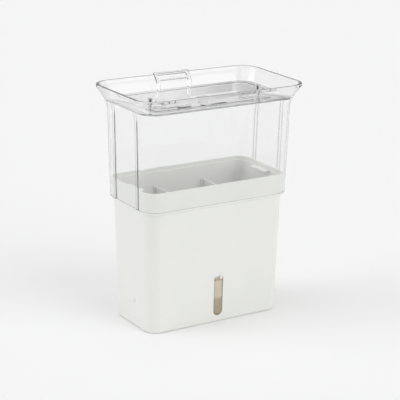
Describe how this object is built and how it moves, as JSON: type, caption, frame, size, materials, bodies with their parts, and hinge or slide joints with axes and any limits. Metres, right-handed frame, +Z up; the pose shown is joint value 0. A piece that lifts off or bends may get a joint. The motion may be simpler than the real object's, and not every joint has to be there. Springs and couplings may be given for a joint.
{
  "type": "countertop keeper",
  "caption": "Tall keeper: white water container with a level window, slotted tray with loose dividers, clear flared hood and a clear sunken lid with a sliding vent and a lift tab.",
  "frame": {"origin": "under the middle of the container's foot, on the surface it stands on", "axes": "+Z up; -Y is the front, with the level window; +X is to the right seen from the front"},
  "size_m": [0.2196, 0.13, 0.2831],
  "materials": {
    "white_shell": "satin moulded",
    "tray_white": "satin moulded",
    "smoke_window": "clear, lightly smoked",
    "silicone": "matte translucent",
    "clear_hood": "clear, polished",
    "clear_lid": "clear, polished",
    "dark_pin": "dark"
  },
  "bodies": {
    "container": {"container": "white_shell", "level_window": "smoke_window", "window_seal": "silicone"},
    "tray": {"tray": "tray_white"},
    "divider_left": {"divider_left": "tray_white"},
    "divider_right": {"divider_right": "tray_white"},
    "hood": {"hood": "clear_hood"},
    "lid": {"lid": "clear_lid"},
    "vent_slider": {"vent_slider": "clear_lid", "finger_pins": "dark_pin", "pin_caps": "clear_hood"}
  },
  "joints": [
    {"name": "hood_lift", "type": "slide", "parent": "container", "child": "hood", "axis": [0, 0, 1], "range_m": [0, 0.026]},
    {"name": "lid_lift", "type": "slide", "parent": "hood", "child": "lid", "axis": [0, 0, 1], "range_m": [0, 0.02]},
    {"name": "vent_slide", "type": "slide", "parent": "lid", "child": "vent_slider", "axis": [1, 0, 0], "range_m": [0, 0.004]},
    {"name": "tray_lift", "type": "slide", "parent": "container", "child": "tray", "axis": [0, 0, 1], "range_m": [0, 0.0534]},
    {"name": "divider_left_lift", "type": "slide", "parent": "tray", "child": "divider_left", "axis": [0, 0, 1], "range_m": [0, 0.0512]},
    {"name": "divider_right_lift", "type": "slide", "parent": "tray", "child": "divider_right", "axis": [0, 0, 1], "range_m": [0, 0.0512]}
  ]
}
